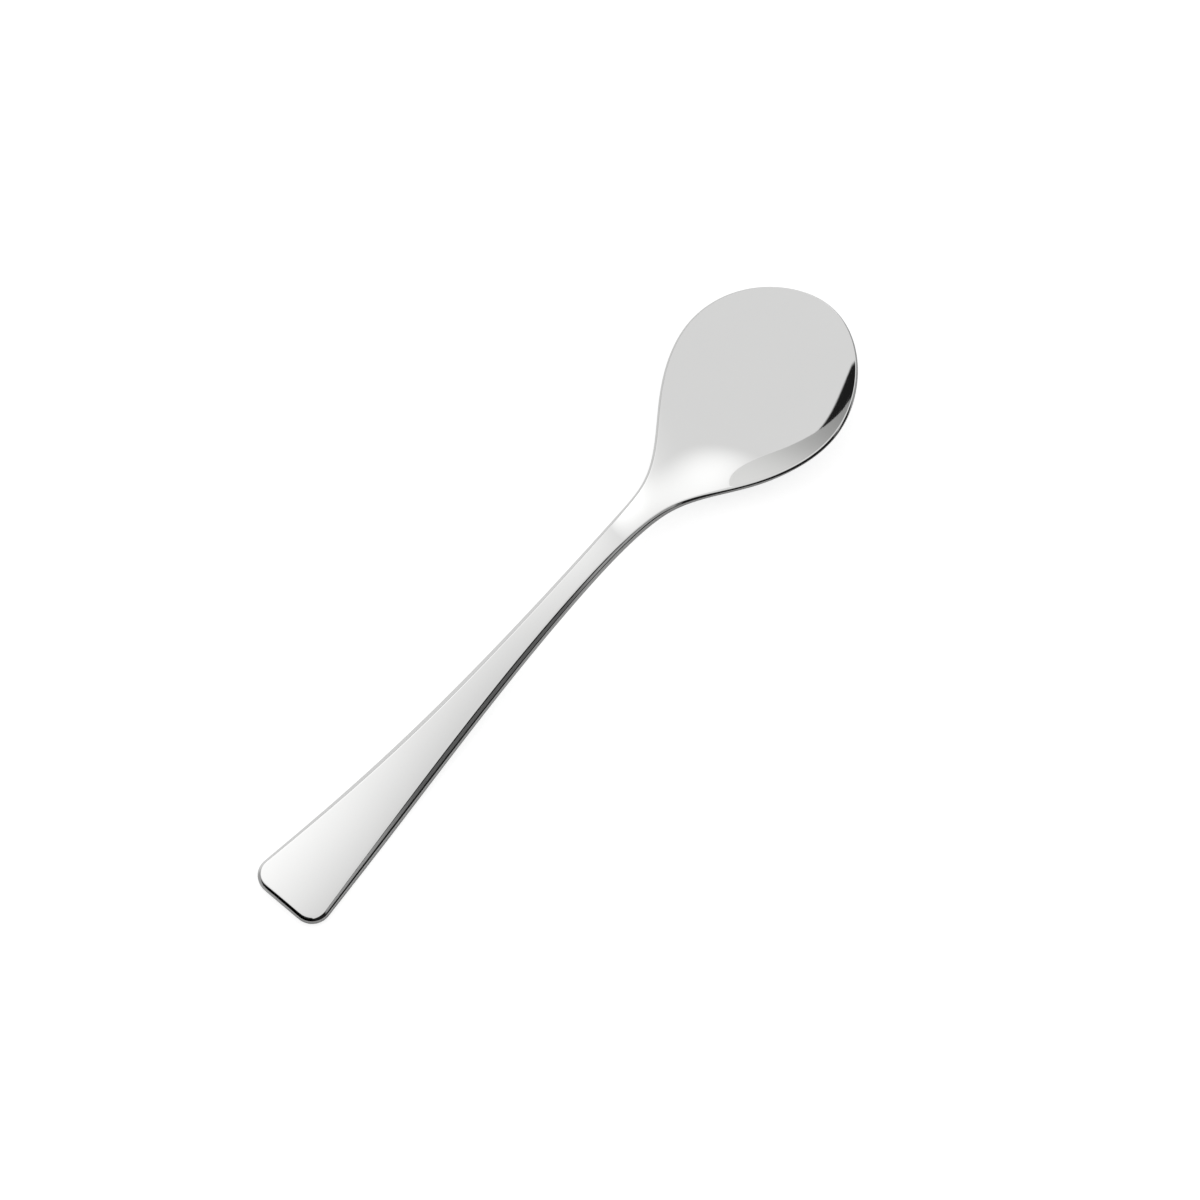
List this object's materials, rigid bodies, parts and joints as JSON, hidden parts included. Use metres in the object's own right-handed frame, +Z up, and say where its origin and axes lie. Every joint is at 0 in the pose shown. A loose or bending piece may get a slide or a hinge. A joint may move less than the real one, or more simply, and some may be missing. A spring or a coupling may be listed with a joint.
{
  "type": "soup spoon",
  "caption": "Mirror-polished soup spoon with a broad egg-shaped bowl, a slim arched neck and a flat handle that flares to a squared end with rounded corners.",
  "frame": {"origin": "on the table, below the middle of the spoon's length and width", "axes": "+X along the spoon from the handle's end to the bowl's tip, +Y across it, +Z up out of the hollow side"},
  "size_m": [0.18, 0.0428, 0.0157],
  "materials": {
    "bowl_steel": "mirror-polished stainless steel, with faint hairline scratches from use inside the bowl",
    "handle_steel": "mirror-polished stainless steel, with faint lengthwise polishing lines"
  },
  "bodies": {
    "root": {"bowl": "bowl_steel", "handle": "handle_steel"}
  },
  "joints": []
}
